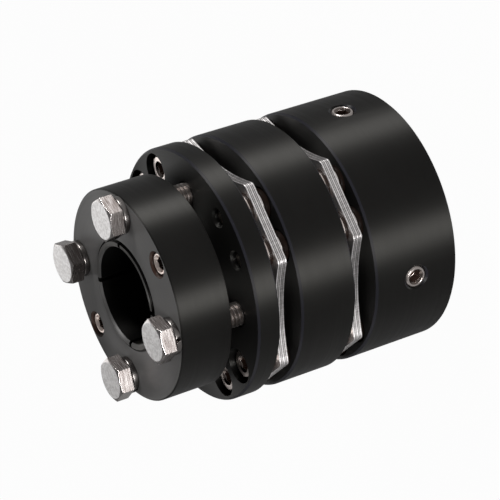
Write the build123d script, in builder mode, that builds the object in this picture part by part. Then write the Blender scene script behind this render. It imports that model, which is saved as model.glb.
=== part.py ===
"""Double disc coupling: a set-screw hub, a middle body and a tapered clamping hub, joined by two disc packs.

The coupling stands on the set-screw hub's end face. +Z runs along the shafts' common axis, from the
set-screw hub to the clamping hub, and the origin is the centre of the set-screw hub's end face.
All lengths are in millimetres and all angles in degrees.
"""

import os
from math import cos, radians, sin, tan

from build123d import *

# --- Turned bodies -------------------------------------------------------------------------------
body_diameter = 65.0
hub_length = 23.9
middle_length = 15.5
flange_thickness = 6.2
body_chamfer = 0.5
bore_diameter = 25.0
bore_chamfer = 0.4
middle_bore_gap = 1.5  # from the shaft to the middle body's bore, all round

# --- Disc packs ----------------------------------------------------------------------------------
pack_gap = 6.1  # from one body's face to the next, at each pack
disc_thickness = 0.5
disc_count = 5  # discs in each pack
disc_inset = 0.2  # from the bodies' outside to the ends of each lobe's flat
disc_corner_fillet = 1.5
lobe_half_angle = 18.7  # from a lobe's middle to the end of its flat
disc_waist_depth = 5.3  # from a lobe's ends in to the outline's innermost point, between two lobes
disc_opening_diameter = 37.0
first_lobe_angle = 45.0

# --- Screws that hold the packs ------------------------------------------------------------------
pack_screw_inset = 5.5  # from the bodies' outside to the screws' axes
pair_half_angle = 12.0  # two screws sit this far each side of a lobe's middle
pack_screw_diameter = 4.0
pack_screw_length = 12.0  # under the head
pack_head_diameter = 7.0
pack_head_height = 4.0
pack_socket_width = 3.0  # across flats
pack_socket_depth = 2.0
pack_socket_mouth = 0.4  # the sockets' mouths are opened this much past their corners, at 45 degrees
pack_head_chamfer = 0.3
head_collar_reach = 1.0  # how far a head's collar stands in the clearance hole behind it
collar_diameter = 8.0
pack_washer_diameter = 8.0
pack_washer_thickness = 0.9
clearance_hole_diameter = 9.0
pack_hole_clearance = 0.1  # on diameter, where a screw passes a disc or a collar
thread_clearance = 0.06  # on diameter, between a screw and its threaded hole
thread_runout = 2.0  # a blind threaded hole goes this much deeper than its screw
thread_mouth_chamfer = 0.5

# --- Tapered sleeve and clamp ring ---------------------------------------------------------------
ring_gap = 4.1  # from the flange to the clamp ring
ring_length = 13.8
ring_step = 5.5  # from the flange's outside in to the ring's
ring_chamfer = 0.3
sleeve_projection = 0.4  # the sleeve's end stands out of the ring this much
sleeve_tip_wall = 1.25  # the sleeve's wall at its end, at the foot of the bore's chamfer
taper_angle = 8.0  # between the cone and the axis
taper_clearance = 0.06  # on diameter, between the sleeve and the ring before it is tightened
ring_mouth_chamfer = 0.6
sleeve_undercut = 0.8  # length of the straight neck where the cone meets the flange
slot_width = 1.1
slot_count = 4
first_slot_angle = 7.0
slot_floor = 2.0  # the slots stop this far above the flange

# --- Clamp bolts, spring washers and jack screws --------------------------------------------------
clamp_bolt_inset = 4.5  # from the ring's outside to the bolts' axes
clamp_bolt_count = 4
clamp_bolt_diameter = 6.0
clamp_bolt_length = 25.0  # under the head
clamp_head_width = 10.0  # across flats
clamp_head_height = 4.0
clamp_head_chamfer_angle = 25.0  # between the head's conical top edge and its face
clamp_head_face_diameter = 9.5
clamp_head_bearing_diameter = 8.9  # the round bearing face under the hexagon
clamp_head_bearing_height = 0.4
clamp_head_angles = (52.8, 38.8, 20.2, 50.2)  # from +X to one of each head's corners, once tightened
clamp_hole_clearance = 0.6  # on diameter
washer_thickness = 1.6
washer_section_width = 1.6
washer_hole_clearance = 0.2  # on diameter
washer_split_width = 0.9
washer_split_angle = 25.0  # between the split and the bolt's axis
split_angles = (20.0, 200.0, 300.0, 335.0)  # from +X to each washer's split
jack_screw_inset = 4.0  # from the ring's outside to the screws' axes
jack_screw_angle = 45.0
jack_screw_diameter = 6.0
jack_screw_length = 12.0
jack_screw_recess = 0.7
jack_hole_chamfer = 0.4

# --- Radial set screws in the hub -----------------------------------------------------------------
hub_screw_height = 12.1
hub_screw_angles = (0.0, 90.0)
hub_screw_diameter = 6.0
hub_screw_tip_gap = 0.8  # from a screw's tip to the shaft, before it is tightened
hub_screw_recess = 0.2
hub_hole_chamfer = 0.5

# --- Ends of all the headless screws --------------------------------------------------------------
headless_chamfer = 0.5
headless_socket_width = 3.0  # across flats
headless_socket_depth = 3.0
headless_socket_mouth = 0.4  # opened this much past the corners, at 45 degrees

# --- Distances from the axis ----------------------------------------------------------------------
body_radius = body_diameter / 2
bore_radius = bore_diameter / 2
middle_bore_radius = bore_radius + middle_bore_gap
lobe_radius = body_radius - disc_inset
pack_screw_radius = body_radius - pack_screw_inset  # to the screws' axes
ring_radius = body_radius - ring_step
sleeve_tip_radius = bore_radius + sleeve_tip_wall
clamp_bolt_radius = ring_radius - clamp_bolt_inset  # to the bolts' axes
jack_screw_radius = ring_radius - jack_screw_inset  # to the screws' axes
hub_screw_end = body_radius - hub_screw_recess
hub_screw_length = hub_screw_end - bore_radius - hub_screw_tip_gap

# --- Heights of the faces, from the bottom up -----------------------------------------------------
hub_top = hub_length
middle_bottom = hub_top + pack_gap
middle_top = middle_bottom + middle_length
flange_bottom = middle_top + pack_gap
flange_top = flange_bottom + flange_thickness
ring_bottom = flange_top + ring_gap
ring_top = ring_bottom + ring_length
sleeve_top = ring_top + sleeve_projection

pack_thickness = disc_thickness * disc_count
pack_offset = (pack_gap - pack_thickness) / 2  # from a pack to the body on either side
thread_collar_length = pack_offset - pack_washer_thickness
head_collar_length = thread_collar_length + head_collar_reach
lower_pack_bottom = hub_top + pack_offset
lower_pack_top = lower_pack_bottom + pack_thickness
upper_pack_bottom = middle_top + pack_offset
upper_pack_top = upper_pack_bottom + pack_thickness

# Lobes at hub_lobe_angle are fixed to the two hubs, and those a quarter turn on to the middle body.
hub_lobe_angle = first_lobe_angle
middle_lobe_angle = first_lobe_angle + 90
pack_thread_radius = (pack_screw_diameter + thread_clearance) / 2
screw_engagement = pack_screw_length - pack_gap - head_collar_reach


def at_polar(radius, angle, height=0.0):
    """The point at a radius and angle about the axis."""
    return (radius * cos(radians(angle)), radius * sin(radians(angle)), height)


def pair_spots(lobe_angle):
    """The screw places of two opposite lobes, two in each."""
    return [
        at_polar(pack_screw_radius, lobe_angle + turn + side * pair_half_angle)
        for turn in (0, 180)
        for side in (-1, 1)
    ]


def ring_spots():
    """The clamp bolts' places."""
    return [at_polar(clamp_bolt_radius, 360 / clamp_bolt_count * n) for n in range(clamp_bolt_count)]


def jack_spots():
    """The jack screws' places."""
    return [at_polar(jack_screw_radius, jack_screw_angle + turn) for turn in (0, 180)]


def corner_reach(width):
    """How far a hexagon socket's corners stand past its flats, seen from its middle."""
    return width / 2 / cos(radians(30)) - width / 2


def facing(spots, height, side=1):
    """Planes on these spots at a height, facing up (side 1) or down (side -1)."""
    return [Plane(origin=(spot[0], spot[1], height), z_dir=(0, 0, side)) for spot in spots]


def open_mouths(planes, hole_radius, chamfer_width):
    """Chamfers the mouths of holes of this radius by 45 degrees. Each plane faces out of its hole."""
    with Locations(*planes):
        Cone(
            hole_radius,
            hole_radius + chamfer_width,
            chamfer_width,
            align=(Align.CENTER, Align.CENTER, Align.MAX),
            mode=Mode.SUBTRACT,
        )


def save(part, name):
    """Labels a finished piece and writes it."""
    part.label = name
    export_step(part, f"parts/{name}.step")


os.makedirs("parts", exist_ok=True)


# --- Set-screw hub --------------------------------------------------------------------------------
def radial_plane(angle, radius):
    """A plane facing outwards at the set screws' height, its origin at this radius."""
    return Plane(
        origin=at_polar(radius, angle, hub_screw_height),
        x_dir=(-sin(radians(angle)), cos(radians(angle)), 0),
        z_dir=(cos(radians(angle)), sin(radians(angle)), 0),
    )


with BuildPart() as set_screw_hub:
    with BuildSketch():
        Circle(body_radius)
        Circle(bore_radius, mode=Mode.SUBTRACT)
    extrude(amount=hub_length)
    rims = set_screw_hub.edges().filter_by(GeomType.CIRCLE)
    chamfer(rims.filter_by(lambda rim: rim.radius == body_radius), body_chamfer)
    chamfer(rims.filter_by(lambda rim: rim.radius == bore_radius), bore_chamfer)
    with BuildSketch():
        with Locations(*pair_spots(middle_lobe_angle)):
            Circle(clearance_hole_diameter / 2)
    extrude(amount=hub_length, mode=Mode.SUBTRACT)
    with BuildSketch(Plane.XY.offset(hub_top)):
        with Locations(*pair_spots(hub_lobe_angle)):
            Circle(pack_thread_radius)
    extrude(amount=-(screw_engagement + thread_runout), mode=Mode.SUBTRACT)
    open_mouths(facing(pair_spots(hub_lobe_angle), hub_top), pack_thread_radius, thread_mouth_chamfer)
    for angle in hub_screw_angles:
        hub_screw_hole_radius = (hub_screw_diameter + thread_clearance) / 2
        with BuildSketch(radial_plane(angle, 0)):
            Circle(hub_screw_hole_radius)
        extrude(amount=body_radius, mode=Mode.SUBTRACT)
        open_mouths([radial_plane(angle, body_radius)], hub_screw_hole_radius, hub_hole_chamfer)
save(set_screw_hub.part, "set_screw_hub")


# --- Middle body ----------------------------------------------------------------------------------
with BuildPart() as middle_body:
    with BuildSketch(Plane.XY.offset(middle_bottom)):
        Circle(body_radius)
        Circle(middle_bore_radius, mode=Mode.SUBTRACT)
        with Locations(*pair_spots(hub_lobe_angle)):
            Circle(clearance_hole_diameter / 2, mode=Mode.SUBTRACT)
        with Locations(*pair_spots(middle_lobe_angle)):
            Circle(pack_thread_radius, mode=Mode.SUBTRACT)
    extrude(amount=middle_length)
    rims = middle_body.edges().filter_by(GeomType.CIRCLE)
    chamfer(rims.filter_by(lambda rim: rim.radius == body_radius), body_chamfer)
    threads = pair_spots(middle_lobe_angle)
    mouths = facing(threads, middle_bottom, -1) + facing(threads, middle_top)
    open_mouths(mouths, pack_thread_radius, thread_mouth_chamfer)
save(middle_body.part, "middle_body")


# --- Taper hub: the flange and its slotted sleeve, turned from one bar ----------------------------
def sleeve_radius(height):
    """The cone's radius at a height: it widens towards the flange."""
    return sleeve_tip_radius + (sleeve_top - height) * tan(radians(taper_angle))


neck_top = flange_top + sleeve_undercut
clamp_thread_radius = (clamp_bolt_diameter + thread_clearance) / 2
with BuildPart() as taper_hub:
    with BuildSketch(Plane.XZ):
        with BuildLine():
            Polyline(
                (bore_radius + bore_chamfer, flange_bottom),
                (body_radius - body_chamfer, flange_bottom),
                (body_radius, flange_bottom + body_chamfer),
                (body_radius, flange_top - body_chamfer),
                (body_radius - body_chamfer, flange_top),
                (sleeve_radius(neck_top), flange_top),
                (sleeve_radius(neck_top), neck_top),
                (sleeve_radius(sleeve_top), sleeve_top),
                (bore_radius + bore_chamfer, sleeve_top),
                (bore_radius, sleeve_top - bore_chamfer),
                (bore_radius, flange_bottom + bore_chamfer),
                close=True,
            )
        make_face()
    revolve(axis=Axis.Z)
    with BuildSketch(Plane.XY.offset(flange_bottom)):
        with Locations(*pair_spots(middle_lobe_angle)):
            Circle(clearance_hole_diameter / 2)
        with Locations(*pair_spots(hub_lobe_angle)):
            Circle(pack_thread_radius)
        with Locations(*ring_spots()):
            Circle(clamp_thread_radius)
    extrude(amount=flange_thickness, mode=Mode.SUBTRACT)
    threads = pair_spots(hub_lobe_angle)
    mouths = facing(threads, flange_bottom, -1) + facing(threads, flange_top)
    open_mouths(mouths, pack_thread_radius, thread_mouth_chamfer)
    open_mouths(facing(ring_spots(), flange_top), clamp_thread_radius, thread_mouth_chamfer)
    with BuildSketch(Plane.XY.offset(sleeve_top)):
        with PolarLocations(bore_radius, slot_count, start_angle=first_slot_angle):
            Rectangle(bore_radius, slot_width)
    extrude(amount=flange_top + slot_floor - sleeve_top, mode=Mode.SUBTRACT)
save(taper_hub.part, "taper_hub")


# --- Clamp ring -----------------------------------------------------------------------------------
jack_thread_radius = (jack_screw_diameter + thread_clearance) / 2
with BuildPart() as clamp_ring:
    with BuildSketch(Plane.XZ):
        with BuildLine():
            Polyline(
                (sleeve_radius(ring_bottom) + taper_clearance / 2, ring_bottom),
                (ring_radius - ring_chamfer, ring_bottom),
                (ring_radius, ring_bottom + ring_chamfer),
                (ring_radius, ring_top - ring_chamfer),
                (ring_radius - ring_chamfer, ring_top),
                (sleeve_radius(ring_top) + taper_clearance / 2 + ring_mouth_chamfer, ring_top),
                (
                    sleeve_radius(ring_top - ring_mouth_chamfer) + taper_clearance / 2,
                    ring_top - ring_mouth_chamfer,
                ),
                close=True,
            )
        make_face()
    revolve(axis=Axis.Z)
    with BuildSketch(Plane.XY.offset(ring_bottom)):
        with Locations(*ring_spots()):
            Circle((clamp_bolt_diameter + clamp_hole_clearance) / 2)
        with Locations(*jack_spots()):
            Circle(jack_thread_radius)
    extrude(amount=ring_length, mode=Mode.SUBTRACT)
    open_mouths(facing(jack_spots(), ring_top), jack_thread_radius, jack_hole_chamfer)
save(clamp_ring.part, "clamp_ring")


# --- Clamp bolts and their split spring washers ---------------------------------------------------
clamp_head_seat = ring_top + washer_thickness
clamp_head_corner = clamp_head_width / 2 / cos(radians(30))
clamp_head_face_radius = clamp_head_face_diameter / 2
clamp_head_drop = (clamp_head_corner - clamp_head_face_radius) * tan(radians(clamp_head_chamfer_angle))


def clamp_bolt_at(spot, turn):
    """A hexagon bolt standing head upwards on its washer, its head turned to this angle."""
    seat = Plane(origin=(spot[0], spot[1], clamp_head_seat))
    side = Plane(origin=seat.origin, x_dir=(1, 0, 0), z_dir=(0, -1, 0))
    with BuildPart() as bolt:
        with BuildSketch(seat):
            RegularPolygon(clamp_head_width / 2, 6, major_radius=False, rotation=turn)
        extrude(amount=clamp_head_height)
        with BuildSketch(side):
            with BuildLine():
                Polyline(
                    (0, 0),
                    (clamp_head_bearing_diameter / 2, 0),
                    (clamp_head_bearing_diameter / 2, clamp_head_bearing_height),
                    (clamp_head_corner, clamp_head_bearing_height),
                    (clamp_head_corner, clamp_head_height - clamp_head_drop),
                    (clamp_head_face_radius, clamp_head_height),
                    (0, clamp_head_height),
                    close=True,
                )
            make_face()
        revolve(axis=Axis(seat.origin, seat.z_dir), mode=Mode.INTERSECT)
        with BuildSketch(seat):
            Circle(clamp_bolt_diameter / 2)
        extrude(amount=-clamp_bolt_length)
    return bolt.part


def spring_washer_at(spot, turn):
    """A split lock washer lying on the clamp ring, pressed flat, with a slanted split at this angle."""
    washer_hole_radius = (clamp_bolt_diameter + washer_hole_clearance) / 2
    washer_radius = washer_hole_radius + washer_section_width
    floor = Plane(origin=(spot[0], spot[1], ring_top))
    split = floor.rotated((0, 0, turn)).rotated((washer_split_angle, 0, 0))
    with BuildPart() as washer:
        with BuildSketch(floor):
            Circle(washer_radius)
            Circle(washer_hole_radius, mode=Mode.SUBTRACT)
        extrude(amount=washer_thickness)
        with BuildSketch(split):
            with Locations((washer_radius, 0)):
                Rectangle(2 * washer_radius, washer_split_width)
        extrude(amount=2 * washer_radius, both=True, mode=Mode.SUBTRACT)
    return washer.part


for number, (spot, turn, split_turn) in enumerate(
    zip(ring_spots(), clamp_head_angles, split_angles, strict=True), start=1
):
    save(clamp_bolt_at(spot, turn), f"clamp_bolt_{number}")
    save(spring_washer_at(spot, split_turn), f"spring_washer_{number}")


# --- Jack screws and hub set screws: headless, with a hexagon socket ------------------------------
def headless_screw(end, diameter, length):
    """A headless screw whose socket end lies on the plane, which faces out of its hole."""
    with BuildPart() as screw:
        with BuildSketch(end):
            Circle(diameter / 2)
        extrude(amount=-length)
        rims = screw.edges().filter_by(GeomType.CIRCLE)
        chamfer(rims.sort_by_distance(end.origin)[0], headless_chamfer)
        with BuildSketch(end):
            RegularPolygon(headless_socket_width / 2, 6, major_radius=False)
        extrude(amount=-headless_socket_depth, mode=Mode.SUBTRACT)
        mouth = headless_socket_mouth + corner_reach(headless_socket_width)
        open_mouths([end], headless_socket_width / 2, mouth)
    return screw.part


for number, spot in enumerate(jack_spots(), start=1):
    end = Plane(origin=(spot[0], spot[1], ring_top - jack_screw_recess))
    screw = headless_screw(end, jack_screw_diameter, jack_screw_length)
    save(screw, f"jack_screw_{number}")

for number, angle in enumerate(hub_screw_angles, start=1):
    end = radial_plane(angle, hub_screw_end)
    screw = headless_screw(end, hub_screw_diameter, hub_screw_length)
    save(screw, f"hub_set_screw_{number}")


# --- Disc packs -----------------------------------------------------------------------------------
def disc(bottom):
    """One spring steel disc: four lobes with flat ends, hollowed waists between them, drilled in pairs."""
    with BuildPart() as sheet:
        with BuildSketch(Plane.XY.offset(bottom)) as outline:
            with BuildLine():
                for middle in range(int(first_lobe_angle), int(first_lobe_angle) + 360, 90):
                    start = at_polar(lobe_radius, middle - lobe_half_angle)
                    end = at_polar(lobe_radius, middle + lobe_half_angle)
                    next_start = at_polar(lobe_radius, middle + 90 - lobe_half_angle)
                    Line(start, end)
                    ThreePointArc(end, at_polar(lobe_radius - disc_waist_depth, middle + 45), next_start)
            make_face()
            fillet(outline.vertices(), disc_corner_fillet)
            Circle(disc_opening_diameter / 2, mode=Mode.SUBTRACT)
            with Locations(*pair_spots(hub_lobe_angle), *pair_spots(middle_lobe_angle)):
                Circle((pack_screw_diameter + pack_hole_clearance) / 2, mode=Mode.SUBTRACT)
        extrude(amount=disc_thickness)
    return sheet.part


for name, bottom in (("lower", lower_pack_bottom), ("upper", upper_pack_bottom)):
    for number in range(disc_count):
        save(disc(bottom + disc_thickness * number), f"{name}_disc_{number + 1}")


# --- Pack screws, washers and collars -------------------------------------------------------------
def pack_screws(lobe_angle, seat, side):
    """Four socket head screws seated at this height, with their heads up (side 1) or down (side -1)."""
    spots = pair_spots(lobe_angle)
    with BuildPart() as screws:
        with BuildSketch(Plane.XY.offset(seat)):
            with Locations(*spots):
                Circle(pack_head_diameter / 2)
        extrude(amount=side * pack_head_height)
        head_tops = screws.edges().group_by(Axis.Z)[-1 if side > 0 else 0]
        chamfer(head_tops, pack_head_chamfer)
        with BuildSketch(Plane.XY.offset(seat)):
            with Locations(*spots):
                Circle(pack_screw_diameter / 2)
        extrude(amount=-side * pack_screw_length)
        with BuildSketch(Plane.XY.offset(seat + side * pack_head_height)):
            with Locations(*spots):
                RegularPolygon(pack_socket_width / 2, 6, major_radius=False)
        extrude(amount=-side * pack_socket_depth, mode=Mode.SUBTRACT)
        tops = facing(spots, seat + side * pack_head_height, side)
        open_mouths(tops, pack_socket_width / 2, pack_socket_mouth + corner_reach(pack_socket_width))
    return screws.part


def rings_round_screws(spots, diameter, start, length):
    """Rings round the pack screws at these places, from this height; a negative length points down."""
    with BuildPart() as rings:
        with BuildSketch(Plane.XY.offset(start)):
            with Locations(*spots):
                Circle(diameter / 2)
                Circle((pack_screw_diameter + pack_hole_clearance) / 2, mode=Mode.SUBTRACT)
        extrude(amount=length)
    return rings.part


hub_lobe_spots = pair_spots(hub_lobe_angle)
middle_lobe_spots = pair_spots(middle_lobe_angle)
for name, hub_face, middle_face, to_hub in (
    ("lower", lower_pack_bottom, lower_pack_top, -1),
    ("upper", upper_pack_top, upper_pack_bottom, 1),
):
    for side, face, outwards, head_spots, thread_spots in (
        ("hub_side", hub_face, to_hub, middle_lobe_spots, hub_lobe_spots),
        ("middle_side", middle_face, -to_hub, hub_lobe_spots, middle_lobe_spots),
    ):
        washers = rings_round_screws(
            head_spots + thread_spots, pack_washer_diameter, face, outwards * pack_washer_thickness
        )
        save(washers, f"{name}_pack_washers_{side}")
        collar_face = face + outwards * pack_washer_thickness
        for kind, spots, length in (
            ("head", head_spots, head_collar_length),
            ("thread", thread_spots, thread_collar_length),
        ):
            collars = rings_round_screws(spots, collar_diameter, collar_face, outwards * length)
            save(collars, f"{name}_{kind}_collars_{side}")
    head_offset = pack_washer_thickness + head_collar_length
    middle_screws = pack_screws(middle_lobe_angle, hub_face + to_hub * head_offset, to_hub)
    save(middle_screws, f"{name}_middle_screws")
    hub_screws = pack_screws(hub_lobe_angle, middle_face - to_hub * head_offset, -to_hub)
    save(hub_screws, f"{name}_hub_screws")
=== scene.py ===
"""Looks of the disc coupling: finishes, soft edges, bolt threads, studio light and camera.

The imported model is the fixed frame. Lengths are in metres, angles in degrees, and +Z is the shafts' axis.
"""

from math import cos, degrees, pi, radians, sin

import bmesh
import bpy
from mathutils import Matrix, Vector


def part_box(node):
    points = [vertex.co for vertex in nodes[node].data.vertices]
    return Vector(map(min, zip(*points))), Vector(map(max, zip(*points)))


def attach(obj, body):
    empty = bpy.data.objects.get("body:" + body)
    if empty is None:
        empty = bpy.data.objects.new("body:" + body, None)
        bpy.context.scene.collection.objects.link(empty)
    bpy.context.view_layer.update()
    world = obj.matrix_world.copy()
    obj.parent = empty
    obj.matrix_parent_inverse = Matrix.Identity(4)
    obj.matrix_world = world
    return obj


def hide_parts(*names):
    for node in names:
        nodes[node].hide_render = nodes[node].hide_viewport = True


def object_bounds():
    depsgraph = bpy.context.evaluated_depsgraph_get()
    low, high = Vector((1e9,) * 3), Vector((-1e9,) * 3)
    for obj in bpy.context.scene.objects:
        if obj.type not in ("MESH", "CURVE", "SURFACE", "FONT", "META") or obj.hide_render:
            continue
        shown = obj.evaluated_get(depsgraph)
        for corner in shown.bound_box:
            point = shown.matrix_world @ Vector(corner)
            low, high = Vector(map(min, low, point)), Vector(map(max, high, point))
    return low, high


MM = 0.001
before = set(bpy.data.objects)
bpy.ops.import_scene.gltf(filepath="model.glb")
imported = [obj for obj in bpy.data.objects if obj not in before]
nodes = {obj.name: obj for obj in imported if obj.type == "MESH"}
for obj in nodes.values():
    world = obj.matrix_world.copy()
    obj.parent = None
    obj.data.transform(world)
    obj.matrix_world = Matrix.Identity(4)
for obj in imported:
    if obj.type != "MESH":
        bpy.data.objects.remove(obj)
cad_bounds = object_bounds()


# --- Small helpers --------------------------------------------------------------------------------
def seen_from(centre, azimuth, elevation, distance):
    """The point seen from centre at this azimuth, elevation and distance."""
    flat = distance * cos(radians(elevation))
    height = distance * sin(radians(elevation))
    return centre + Vector((flat * cos(radians(azimuth)), flat * sin(radians(azimuth)), height))


def names(prefix):
    """The CAD nodes whose names start this way."""
    return sorted(name for name in nodes if name.startswith(prefix))


def link(tree, output, target):
    """Feeds a node's output, or a constant, into an input of the same tree."""
    if isinstance(output, bpy.types.NodeSocket):
        tree.links.new(output, target)
    else:
        target.default_value = output


# --- Node graphs ----------------------------------------------------------------------------------
class Graph:
    """A material being built: a Principled shader and the nodes that feed it."""

    def __init__(self, name, **constants):
        self.material = bpy.data.materials.new(name)
        self.material.use_nodes = True
        self.tree = self.material.node_tree
        self.shader = self.tree.nodes["Principled BSDF"]
        for socket, value in constants.items():
            self.shader.inputs[socket.replace("_", " ")].default_value = value
        self.coordinates = self.add("ShaderNodeTexCoord").outputs["Object"]

    def add(self, kind, **settings):
        """Adds a node and sets its properties."""
        node = self.tree.nodes.new(kind)
        for key, value in settings.items():
            setattr(node, key, value)
        return node

    def link(self, output, target):
        """Feeds an output, or a constant, into an input."""
        link(self.tree, output, target)

    def paint(self, socket, value):
        """Feeds a value into one of the shader's own inputs."""
        self.link(value, self.shader.inputs[socket])

    def turned_tangent(self):
        """Lays the shader's brushing in rings round the vertical axis."""
        node = self.add("ShaderNodeTangent", direction_type="RADIAL", axis="Z")
        self.paint("Tangent", node.outputs[0])

    def maths(self, operation, first, second=0.0):
        """One step of arithmetic."""
        node = self.add("ShaderNodeMath", operation=operation)
        self.link(first, node.inputs[0])
        self.link(second, node.inputs[1])
        return node.outputs[0]

    def split(self, vector):
        """The three parts of a vector."""
        node = self.add("ShaderNodeSeparateXYZ")
        self.link(vector, node.inputs[0])
        return node.outputs

    def join(self, x, y, z):
        """A vector from three parts."""
        node = self.add("ShaderNodeCombineXYZ")
        for part, target in zip((x, y, z), node.inputs, strict=True):
            self.link(part, target)
        return node.outputs[0]

    def noise(self, vector, scale, detail=2.0):
        """Smooth noise from 0 to 1."""
        node = self.add("ShaderNodeTexNoise")
        self.link(vector, node.inputs["Vector"])
        node.inputs["Scale"].default_value = scale
        node.inputs["Detail"].default_value = detail
        return node.outputs[0]

    def ramp(self, value, low, high, start=0.0, end=1.0):
        """Rescales a value from low..high to start..end, clamped."""
        node = self.add("ShaderNodeMapRange")
        self.link(value, node.inputs["Value"])
        for socket, number in (("From Min", low), ("From Max", high), ("To Min", start), ("To Max", end)):
            node.inputs[socket].default_value = number
        return node.outputs[0]

    def mix(self, factor, first, second):
        """A colour between two colours."""
        node = self.add("ShaderNodeMix", data_type="RGBA")
        self.link(factor, node.inputs[0])
        self.link(first, node.inputs[6])
        self.link(second, node.inputs[7])
        return node.outputs[2]

    def bump(self, height, depth, strength):
        """Raises the surface by a height map, depth metres deep."""
        node = self.add("ShaderNodeBump")
        node.inputs["Strength"].default_value = strength
        node.inputs["Distance"].default_value = depth
        self.link(height, node.inputs["Height"])
        self.paint("Normal", node.outputs[0])

    def across(self):
        """How far a point lies through the object along Z, from 0 at its bottom to 1 at its top."""
        return self.split(self.add("ShaderNodeTexCoord").outputs["Generated"])[2]

    def from_axis(self, through=(0.0, 0.0, 0.0)):
        """The distance from the vertical line through a point."""
        shifted = self.add("ShaderNodeVectorMath", operation="SUBTRACT")
        self.link(self.coordinates, shifted.inputs[0])
        shifted.inputs[1].default_value = through
        x, y, _ = self.split(shifted.outputs[0])
        squares = self.maths("ADD", self.maths("MULTIPLY", x, x), self.maths("MULTIPLY", y, y))
        return self.maths("SQRT", squares)

    def facing_up(self, low, high):
        """How nearly a surface lies square to Z: 0 where its normal's slope is low, 1 where it is high."""
        normal = self.add("ShaderNodeNewGeometry").outputs["Normal"]
        return self.ramp(self.maths("ABSOLUTE", self.split(normal)[2]), low, high)

    def turned(self, scale):
        """Noise in rings round the axis, as a lathe tool leaves them."""
        return self.noise(self.join(self.from_axis(), self.split(self.coordinates)[2], 0.0), scale)

    def streaks(self, scale, stretch):
        """Noise drawn out into streaks along each of X, Y and Z whose stretch is under 1."""
        parts = zip(self.split(self.coordinates), stretch, strict=True)
        return self.noise(self.join(*(self.maths("MULTIPLY", part, share) for part, share in parts)), scale)


def grey(value, warmth=0.0):
    """A grey, redder and a little less blue for a positive warmth."""
    return (value * (1 + warmth), value, value * (1 - warmth / 2), 1.0)


def shade_brown(value):
    """A brown of this brightness, for painted shade."""
    return (value * 1.7, value, value * 0.75, 1.0)


# --- Materials ------------------------------------------------------------------------------------
ring_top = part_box("clamp_ring")[1].z
body_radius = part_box("middle_body")[1].x
bore_radius = 12.5 * MM
end_sheen_zone = (ring_top - 2.7 * MM, ring_top - 0.7 * MM)  # heights where the painted sheen on the ring's end fades in
chamfer_highlight_zone = (body_radius - 2.5 * MM, body_radius - 1.5 * MM)  # distances where the painted highlight on the outer chamfers sets in
bore_shade_zone = (bore_radius + 2.0 * MM, bore_radius + 1.0 * MM)  # distances where the bore turns dull and, as painted shade, near black
mouth_shade_rim = 0.4 * MM  # how far the painted brown shade reaches past a hole's screw
mouth_shade_fade = 0.03 * MM  # how far it fades, inwards and outwards


def black_anodised(name, end_sheen_grey, end_sheen_slope, shaded_holes=()):
    """Satin black anodised aluminium with faint turning marks.

    Faces that look up near the clamp ring's end get a painted sheen of plain grey where their normal's
    slope is the given slope or more. The outer chamfers get a painted highlight, a lighter bluish black.
    The mouths of the given holes, each given by the box of the screw in it, get a painted brown shade. In
    the bore, metallic over the black base turns the reflection near black: painted shade.
    """
    warm_gloss = (1.0, 0.975, 0.91, 1.0)
    g = Graph(name, IOR=1.3, Specular_Tint=warm_gloss, Anisotropic=0.9, Anisotropic_Rotation=0.25)
    g.turned_tangent()
    fine = g.turned(9000.0)
    side = g.mix(g.noise(g.coordinates, 90.0), grey(0.002, 0.05), grey(0.004, 0.05))
    top_end_sheen = g.ramp(g.split(g.coordinates)[2], *end_sheen_zone)
    # Painted highlight: the outer chamfers turn a lighter bluish black.
    chamfer_highlight_mask = g.maths("MULTIPLY", g.facing_up(0.3, 0.6), g.ramp(g.from_axis(), *chamfer_highlight_zone))
    chamfered = g.mix(chamfer_highlight_mask, side, (0.010, 0.010, 0.013, 1.0))
    turned_face = g.mix(g.facing_up(0.75, 0.95), chamfered, side)
    # Painted sheen: faces that look up near the ring's end turn plain grey.
    end_sheen = g.maths("MULTIPLY", g.facing_up(end_sheen_slope, end_sheen_slope + 0.15), top_end_sheen)
    colour = g.mix(end_sheen, turned_face, grey(end_sheen_grey, 0.02))
    # Painted shade: a brown ring in the mouth of each given hole.
    for low, high in shaded_holes:
        mouth = (high.x - low.x) / 2 + mouth_shade_rim
        in_mouth = g.ramp(g.from_axis((low + high) / 2), mouth + mouth_shade_fade, mouth - mouth_shade_fade)
        colour = g.mix(in_mouth, colour, (0.030, 0.016, 0.012, 1.0))
    g.paint("Base Color", colour)
    in_bore = g.ramp(g.from_axis(), *bore_shade_zone)
    marks = g.maths("ADD", g.maths("MULTIPLY", fine, 0.5), g.maths("MULTIPLY", g.turned(1800.0), 0.5))
    turned_roughness = g.ramp(marks, 0.35, 0.65, 0.45, 0.53)
    g.paint("Roughness", g.maths("MAXIMUM", turned_roughness, g.maths("MULTIPLY", in_bore, 0.75)))
    # Painted shade: in the bore, metallic over the black base turns the reflection near black.
    g.paint("Metallic", g.maths("MULTIPLY", in_bore, 0.8))
    g.bump(fine, 0.004 * MM, 0.5)
    return g.material


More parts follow.
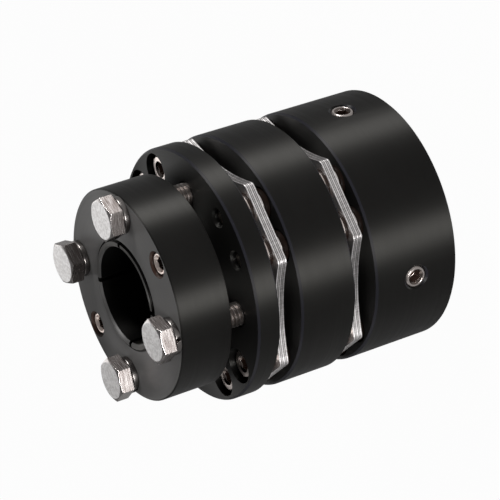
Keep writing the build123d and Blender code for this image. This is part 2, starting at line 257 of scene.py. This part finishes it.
def disc_steel(name, joint_shade_grey, joint_shade_share):
    """Stainless spring steel, its sheared edges streaked across the sheet.

    Next to the disc's faces, over the given share of its thickness, the edges darken to the given grey:
    painted shade at the joints between discs.
    """
    g = Graph(name, Metallic=1.0)
    streaks = g.streaks(5000.0, (1.0, 1.0, 0.04))
    flat = g.facing_up(0.85, 0.95)
    through = g.across()
    from_face = g.maths("MINIMUM", through, g.maths("SUBTRACT", 1.0, through))
    clean = g.maths("MAXIMUM", g.ramp(from_face, joint_shade_share / 3, joint_shade_share), flat)
    steel = g.mix(g.ramp(streaks, 0.3, 0.7), (0.70, 0.67, 0.66, 1.0), (0.95, 0.92, 0.92, 1.0))
    # Painted shade: the sheared edges darken next to each face, at the joints between discs.
    joint = g.mix(g.ramp(g.noise(g.coordinates, 60.0), 0.4, 0.6), grey(0.02, 0.1), grey(joint_shade_grey, 0.05))
    g.paint("Base Color", g.mix(clean, joint, steel))
    g.paint("Roughness", g.ramp(streaks, 0.3, 0.7, 0.3, 0.42))
    g.bump(g.mix(flat, streaks, grey(0.5)), 0.01 * MM, 0.4)
    return g.material


def bolt_face_steel():
    """The rough forged face of a stainless bolt's head, and its smoother chamfer."""
    g = Graph("bolt_face_steel", Metallic=1.0)
    pits = g.noise(g.coordinates, 2600.0, detail=5.0)
    mottle = g.noise(g.coordinates, 1300.0, detail=5.0)
    face = g.facing_up(0.90, 0.98)
    rough_face = g.mix(g.ramp(mottle, 0.4, 0.6), grey(0.62, 0.03), grey(0.78, 0.02))
    pitted = g.mix(g.ramp(pits, 0.34, 0.28), rough_face, grey(0.30, 0.06))
    g.paint("Base Color", g.mix(face, (0.40, 0.37, 0.36, 1.0), pitted))
    g.paint("Roughness", g.ramp(face, 0.0, 1.0, 0.24, 0.44))
    g.bump(g.maths("MULTIPLY", pits, face), 0.04 * MM, 0.6)
    return g.material


def bolt_side_steel():
    """The brushed flats of a bolt's head, streaked along the hexagon."""
    g = Graph("bolt_side_steel", Metallic=1.0, Anisotropic=0.8, Anisotropic_Rotation=0.25)
    g.turned_tangent()
    streaks = g.streaks(7000.0, (0.05, 0.05, 1.0))
    sides = g.mix(g.ramp(streaks, 0.35, 0.65), (0.17, 0.142, 0.132, 1.0), (0.34, 0.316, 0.306, 1.0))
    g.paint("Base Color", sides)
    g.paint("Roughness", g.ramp(streaks, 0.3, 0.7, 0.22, 0.28))
    g.bump(streaks, 0.004 * MM, 0.4)
    return g.material


def plain_steel(name, low, high, warmth, roughness):
    """Machined steel that varies a little from place to place, between the greys low and high."""
    g = Graph(name, Metallic=1.0)
    mottle = g.noise(g.coordinates, 300.0)
    g.paint("Base Color", g.mix(mottle, grey(low, warmth), grey(high, warmth * 0.7)))
    g.paint("Roughness", g.ramp(mottle, 0.3, 0.7, roughness - 0.05, roughness + 0.05))
    g.bump(g.noise(g.coordinates, 5000.0), 0.003 * MM, 0.4)
    return g.material


def brown_shade_steel(name, shade, ior, roughness):
    """A brown-black of this brightness that stands in for shade: painted shade in sockets and on washers
    and collars.
    """
    g = Graph(name, IOR=ior)
    mottle = g.noise(g.coordinates, 600.0)
    # Painted shade: brown-black in place of the shade that falls here.
    g.paint("Base Color", g.mix(mottle, shade_brown(shade * 0.6), shade_brown(shade * 1.4)))
    g.paint("Roughness", g.ramp(mottle, 0.3, 0.7, roughness - 0.06, roughness + 0.06))
    return g.material


def rimmed_washer(name):
    """Brown-black painted shade, with a painted highlight on the rim next to the discs above it."""
    g = Graph(name, IOR=1.15)
    rim = g.ramp(g.across(), 0.66, 0.70)
    # Painted shade on the washer's body, painted highlight on its rim.
    g.paint("Base Color", g.mix(rim, shade_brown(0.003), grey(0.60, 0.06)))
    g.paint("Metallic", rim)
    g.paint("Roughness", g.ramp(g.noise(g.coordinates, 600.0), 0.3, 0.7, 0.32, 0.44))
    return g.material


body_finish = black_anodised("black_anodised", 0.0, 0.8)
# The ring's and the sleeve's ends carry a painted grey sheen, and the ring's jack holes a painted brown
# shade.
ring_finish = black_anodised("ring_anodised", 0.135, 0.8, [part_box(name) for name in names("jack_screw_")])
sleeve_finish = black_anodised("sleeve_anodised", 0.15, 0.4)
dark_joint_shade_finish = disc_steel("disc_steel_dark_joint_shade", 0.03, 0.42)
light_joint_shade_finish = disc_steel("disc_steel", 0.35, 0.18)
bolt_face_finish = bolt_face_steel()
bolt_side_finish = bolt_side_steel()
thread_finish = plain_steel("thread_steel", 0.20, 0.30, 0.14, 0.34)
spring_washer_finish = plain_steel("spring_washer_steel", 0.10, 0.17, 0.10, 0.28)
set_screw_finish = plain_steel("socket_screw_steel", 0.40, 0.47, 0.13, 0.26)
jack_screw_finish = plain_steel("jack_screw_steel", 0.76, 0.82, 0.20, 0.34)
pack_screw_finish = plain_steel("pack_screw_steel", 0.62, 0.72, 0.14, 0.30)
# The sockets' walls and floors, and the set and pack screws' darker mouths, are painted shade.
mouth_shade_finish = plain_steel("socket_mouth_painted_shade", 0.12, 0.20, 0.25, 0.24)
socket_shade_finish = brown_shade_steel("socket_wall_painted_shade", 0.028, 1.25, 0.55)
pack_socket_shade_finish = brown_shade_steel("pack_socket_painted_shade", 0.10, 1.25, 0.55)

# Above each pack's discs the washers carry painted shade and the collars their own bright steel. Below the
# discs washers and collars both carry painted shade, with a painted highlight on the washers' rims.
upper_washer_shade_finish = brown_shade_steel("upper_washer_painted_shade", 0.006, 1.3, 0.30)
lower_washer_shade_finish = rimmed_washer("washer_steel")
upper_collar_finish = plain_steel("collar_steel", 0.62, 0.76, 0.16, 0.34)
lower_collar_shade_finish = brown_shade_steel("lower_collar_painted_shade", 0.003, 1.15, 0.36)


def finish(piece, material):
    """Gives a CAD node, or the floor, one material all over."""
    piece.data.materials.clear()
    piece.data.materials.append(material)


for name in ("set_screw_hub", "middle_body"):
    finish(nodes[name], body_finish)
finish(nodes["clamp_ring"], ring_finish)
finish(nodes["taper_hub"], sleeve_finish)


# --- Pieces with softened edges -------------------------------------------------------------------
sheet_edge = 0.04 * MM  # the rounding of discs and spring washers
turned_edge = 0.06 * MM  # the rounding of screws, washers and collars
bolt_edge = 0.07 * MM  # the rounding of the clamp bolts' heads
rolled_shoulder = 0.35 * MM  # the rounding of the spring washers' outer rims
wall_slope = 0.3  # a face is a wall where its normal's part along the axis is less than this


def cad_copy(name):
    """A CAD node's mesh as one bmesh, its split corners merged and its flat faces whole."""
    mesh = bmesh.new()
    mesh.from_mesh(nodes[name].data)
    bmesh.ops.remove_doubles(mesh, verts=mesh.verts, dist=0.0005 * MM)
    bmesh.ops.dissolve_limit(mesh, angle_limit=radians(0.2), verts=mesh.verts, edges=mesh.edges)
    return mesh


def round_edges(mesh, edges, width, segments=2):
    """Rounds these edges by this width."""
    bmesh.ops.bevel(
        mesh, geom=edges, offset=width, segments=segments, profile=0.5, affect="EDGES", clamp_overlap=True
    )


def soften(mesh, width, corner=35.0):
    """Rounds each edge that turns by more than the corner angle."""
    sharp = [e for e in mesh.edges if len(e.link_faces) == 2 and degrees(e.calc_face_angle(0)) > corner]
    round_edges(mesh, sharp, width)


def add_piece(node, mesh, materials, corner=30.0):
    """Makes a shaded object that rides on the coupling in place of a CAD node.

    The mesh's material indices pick from the materials, and edges past the corner angle shade sharp.
    """
    name = f"{node}_finished"
    data = bpy.data.meshes.new(name)
    mesh.to_mesh(data)
    mesh.free()
    piece = bpy.data.objects.new(name, data)
    bpy.context.scene.collection.objects.link(piece)
    data.shade_smooth()
    data.set_sharp_from_angle(angle=radians(corner))
    for material in materials:
        data.materials.append(material)
    flat_shading = piece.modifiers.new("flat_shading", "WEIGHTED_NORMAL")
    flat_shading.keep_sharp = True
    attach(piece, "root")
    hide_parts(node)


def dress(name, width, material):
    """Shows a CAD node with edges softened by this width and its finish."""
    mesh = cad_copy(name)
    soften(mesh, width)
    add_piece(name, mesh, [material])


def islands(mesh):
    """The separate solids of a mesh, each as a list of faces."""
    left = set(mesh.faces)
    while left:
        found = [left.pop()]
        for face in found:
            for edge in face.edges:
                for near in edge.link_faces:
                    if near in left:
                        left.remove(near)
                        found.append(near)
        yield found


def mark_sockets(mesh):
    """Gives each screw's socket walls and floor the second material, and its chamfered mouth the third.

    The socket's faces are the ones that look in towards the screw's own axis, and the floor is the face
    that only walls surround.
    """
    for faces in islands(mesh):
        places = [v.co for face in faces for v in face.verts]
        low = Vector([min(place[k] for place in places) for k in range(3)])
        high = Vector([max(place[k] for place in places) for k in range(3)])
        size = high - low
        along = max(range(3), key=lambda k: size[k])
        walls = set()
        for face in faces:
            outwards = face.calc_center_median() - (low + high) / 2
            outwards[along] = 0.0
            if face.normal.dot(outwards) < -wall_slope * outwards.length:
                if abs(face.normal[along]) < wall_slope:
                    walls.add(face)
                else:
                    face.material_index = 2
        for face in faces:
            neighbours = {near for edge in face.edges for near in edge.link_faces if near != face}
            if face in walls or neighbours <= walls:
                face.material_index = 1


def dress_screw(name, material, wall, mouth):
    """Shows a node of socket screws with softened edges, and a finish for its sockets' walls and mouths."""
    mesh = cad_copy(name)
    mark_sockets(mesh)
    soften(mesh, turned_edge)
    add_piece(name, mesh, [material, wall, mouth], corner=20.0)


def spring_washer(name):
    """Shows a split washer with the round shoulders of rolled wire at its outer rim."""
    low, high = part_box(name)
    centre = (low + high) / 2
    rim_radius = (high.x - low.x) / 2 - 0.05 * MM
    mesh = cad_copy(name)
    rim = [e for e in mesh.edges if all((v.co - centre).xy.length > rim_radius for v in e.verts)]
    level = [e for e in rim if abs(e.verts[0].co.z - e.verts[1].co.z) < 0.1 * MM]
    round_edges(mesh, level, rolled_shoulder, segments=5)
    soften(mesh, sheet_edge)
    add_piece(name, mesh, [spring_washer_finish])


# Every second disc has dark painted shade at its joints and the others lighter, so that each pack reads as
# a stack.
for side in ("lower", "upper"):
    for number, name in enumerate(names(f"{side}_disc_"), start=1):
        disc_finish = light_joint_shade_finish if number % 2 else dark_joint_shade_finish
        dress(name, sheet_edge, disc_finish)
for name in names("spring_washer_"):
    spring_washer(name)
# Socket walls and floors, and the set and pack screws' mouths, get painted shade.
for name in names("hub_set_screw_"):
    dress_screw(name, set_screw_finish, socket_shade_finish, mouth_shade_finish)
for name in names("jack_screw_"):
    dress_screw(name, jack_screw_finish, socket_shade_finish, jack_screw_finish)
for side in ("lower", "upper"):
    for name in names(f"{side}_middle_screws") + names(f"{side}_hub_screws"):
        dress_screw(name, pack_screw_finish, pack_socket_shade_finish, mouth_shade_finish)
    pack_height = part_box(f"{side}_disc_1")[0].z
    # Washers above the discs and everything below them get painted shade.
    for name in names(f"{side}_pack_washers"):
        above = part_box(name)[0].z > pack_height
        dress(name, turned_edge, upper_washer_shade_finish if above else lower_washer_shade_finish)
    for name in names(f"{side}_head_collars") + names(f"{side}_thread_collars"):
        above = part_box(name)[0].z > pack_height
        dress(name, turned_edge, upper_collar_finish if above else lower_collar_shade_finish)


# --- Clamp bolts with their threads ---------------------------------------------------------------
bolt_length = 25.0 * MM  # under the head
plain_shank = 0.3 * MM  # left between the head and the thread
thread_radius = 3.0 * MM
thread_pitch = 1.0 * MM
thread_depth = 0.6 * MM
thread_profile = ((0.0, 1.0), (0.375, 0.0), (0.5, 0.0), (0.875, 1.0))  # shares of the pitch and the depth
steps_per_turn = 36
spare_turns = 2  # made past each end of the thread and cut off


def cut_off(mesh, part, height, side):
    """Cuts away what lies above (side 1) or below (side -1) a height, caps it, and returns what is left."""
    cut = bmesh.ops.bisect_plane(
        mesh, geom=part, dist=1e-9, plane_co=(0, 0, height), plane_no=(0, 0, side), clear_outer=True
    )
    rim = [element for element in cut["geom_cut"] if isinstance(element, bmesh.types.BMEdge)]
    cap = bmesh.ops.holes_fill(mesh, edges=rim, sides=0)["faces"]
    return [element for element in cut["geom"] if element.is_valid] + cap


def add_thread(mesh, centre, top, bottom):
    """Adds a closed, right-hand metric thread from top down to bottom, and returns its faces.

    Rows of points climb the helix, and each row's last point meets the first point one turn on. At the
    bottom the crests are cut back to a 45 degree cone.
    """
    turns = round((top - bottom) / thread_pitch) + 2 * spare_turns
    rows = []
    for step in range(turns * steps_per_turn + 1):
        angle = 2 * pi * step / steps_per_turn
        rise = bottom + thread_pitch * (step / steps_per_turn - spare_turns)
        row = []
        for rise_share, depth_share in thread_profile:
            height = rise + rise_share * thread_pitch
            tip_radius = thread_radius - thread_depth + max(height - bottom, 0.0)
            radius = min(thread_radius - depth_share * thread_depth, tip_radius)
            place = (centre.x + radius * cos(angle), centre.y + radius * sin(angle), height)
            row.append(mesh.verts.new(place))
        rows.append(row)
    faces = []
    for step in range(len(rows) - 1):
        here, ahead = rows[step], rows[step + 1]
        quads = [(here[k], ahead[k], ahead[k + 1], here[k + 1]) for k in range(len(here) - 1)]
        if step + 1 + steps_per_turn < len(rows):
            above, above_ahead = rows[step + steps_per_turn], rows[step + 1 + steps_per_turn]
            quads.append((here[-1], ahead[-1], above_ahead[0], above[0]))
        faces += [mesh.faces.new(quad) for quad in quads]
    edges = {edge for face in faces for edge in face.edges}
    part = [vert for row in rows for vert in row] + list(edges) + faces
    part = cut_off(mesh, part, top, 1)
    part = cut_off(mesh, part, bottom, -1)
    return [element for element in part if isinstance(element, bmesh.types.BMFace)]


def clamp_bolt(name):
    """A hexagon bolt: the CAD node's head, its edges softened, on a threaded shank."""
    low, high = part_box(name)
    centre = (low + high) / 2
    cut = low.z + bolt_length - plain_shank
    mesh = cad_copy(name)
    cut_off(mesh, list(mesh.verts) + list(mesh.edges) + list(mesh.faces), cut, -1)
    soften(mesh, bolt_edge, corner=20.0)
    for face in mesh.faces:
        if abs(face.normal.z) < wall_slope:
            face.material_index = 1
    for face in add_thread(mesh, centre, cut, low.z):
        face.material_index = 2
    finishes = [bolt_face_finish, bolt_side_finish, thread_finish]
    add_piece(name, mesh, finishes, corner=15.0)


for name in names("clamp_bolt_"):
    clamp_bolt(name)


# --- Floor ----------------------------------------------------------------------------------------
def seen_share(tree, camera_share, mirror_share, base=0.0):
    """A share that is base for plain light, and more for rays from the camera, mirrors and glass."""
    path = tree.nodes.new("ShaderNodeLightPath")
    total = base
    shares = {
        "Is Camera Ray": camera_share,
        "Is Glossy Ray": mirror_share,
        "Is Transmission Ray": mirror_share,
    }
    for ray, share in shares.items():
        step = tree.nodes.new("ShaderNodeMath")
        step.operation = "MULTIPLY_ADD"
        for value, target in zip((path.outputs[ray], share, total), step.inputs, strict=True):
            link(tree, value, target)
        total = step.outputs[0]
    return total


def white_floor():
    """A pale floor that the camera sees as white, with only a trace of the object's shadow.

    Reflections see a fifth of that glow over the floor's own lit colour.
    """
    material = bpy.data.materials.new("studio_floor")
    material.use_nodes = True
    tree = material.node_tree
    tree.nodes.clear()
    paint = tree.nodes.new("ShaderNodeBsdfDiffuse")
    paint.inputs["Color"].default_value = (0.45, 0.45, 0.45, 1.0)
    glow = tree.nodes.new("ShaderNodeEmission")
    glow.inputs["Color"].default_value = (1.0, 1.0, 1.0, 1.0)
    both = tree.nodes.new("ShaderNodeMixShader")
    tree.links.new(seen_share(tree, camera_share=0.97, mirror_share=0.2), both.inputs[0])
    tree.links.new(paint.outputs[0], both.inputs[1])
    tree.links.new(glow.outputs[0], both.inputs[2])
    output = tree.nodes.new("ShaderNodeOutputMaterial")
    tree.links.new(both.outputs[0], output.inputs["Surface"])
    return material


floor_half = 3.0
floor_height = cad_bounds[0][2] - 0.05 * MM  # just clear of the hub's end face
corners = [(x * floor_half, y * floor_half, floor_height) for x, y in ((-1, -1), (1, -1), (1, 1), (-1, 1))]
floor_mesh = bpy.data.meshes.new("studio_floor")
floor_mesh.from_pydata(corners, [], [(0, 1, 2, 3)])
floor = bpy.data.objects.new("studio_floor", floor_mesh)
bpy.context.scene.collection.objects.link(floor)
finish(floor, white_floor())


# --- Light ----------------------------------------------------------------------------------------
lamp_target = Vector((0.0, 0.0, 0.04))


def panel_lamp(name, azimuth, elevation, distance, width, height, radiance):
    """A soft rectangular lamp that faces the object, its own brightness given with white as 1."""
    lamp = bpy.data.lights.new(name, "AREA")
    lamp.shape = "RECTANGLE"
    lamp.size = width
    lamp.size_y = height
    lamp.energy = radiance * pi * width * height
    holder = bpy.data.objects.new(name, lamp)
    bpy.context.scene.collection.objects.link(holder)
    holder.location = seen_from(lamp_target, azimuth, elevation, distance)
    holder.rotation_euler = (lamp_target - holder.location).to_track_quat("-Z", "Y").to_euler()


panel_lamp("right_strip", 6.7, 8.0, distance=0.9, width=0.3, height=0.28, radiance=43.0)
panel_lamp("left_strip", 106.7, 8.0, distance=0.9, width=0.3, height=0.28, radiance=40.0)
panel_lamp("back_panel", 198.0, 24.0, distance=1.0, width=0.5, height=0.6, radiance=1.7)
panel_lamp("low_fill", -75.0, 25.0, distance=0.9, width=0.5, height=0.6, radiance=0.8)

world = bpy.data.worlds.new("studio")
world.use_nodes = True
background = world.node_tree.nodes["Background"]
background.inputs["Color"].default_value = (1.0, 1.0, 1.0, 1.0)
strength = seen_share(world.node_tree, camera_share=0.86, mirror_share=0.05, base=0.12)
link(world.node_tree, strength, background.inputs["Strength"])
bpy.context.scene.world = world
bpy.context.scene.view_settings.view_transform = "Standard"


# --- Camera ---------------------------------------------------------------------------------------
camera_aim = Vector((-0.00065, 0.00100, 0.03963))
camera_roll = 108.03  # the coupling lies across the picture, its clamp ring at the lower left

camera_data = bpy.data.cameras.new("camera")
camera_data.lens = 175.187
camera_data.sensor_width = 36.0
camera = bpy.data.objects.new("camera", camera_data)
bpy.context.scene.collection.objects.link(camera)
camera.location = seen_from(camera_aim, azimuth=33.33, elevation=26.84, distance=0.60921)
upright = (camera_aim - camera.location).to_track_quat("-Z", "Y").to_matrix()
camera.rotation_euler = (upright @ upright.Rotation(radians(-camera_roll), 3, "Z")).to_euler()
bpy.context.scene.camera = camera
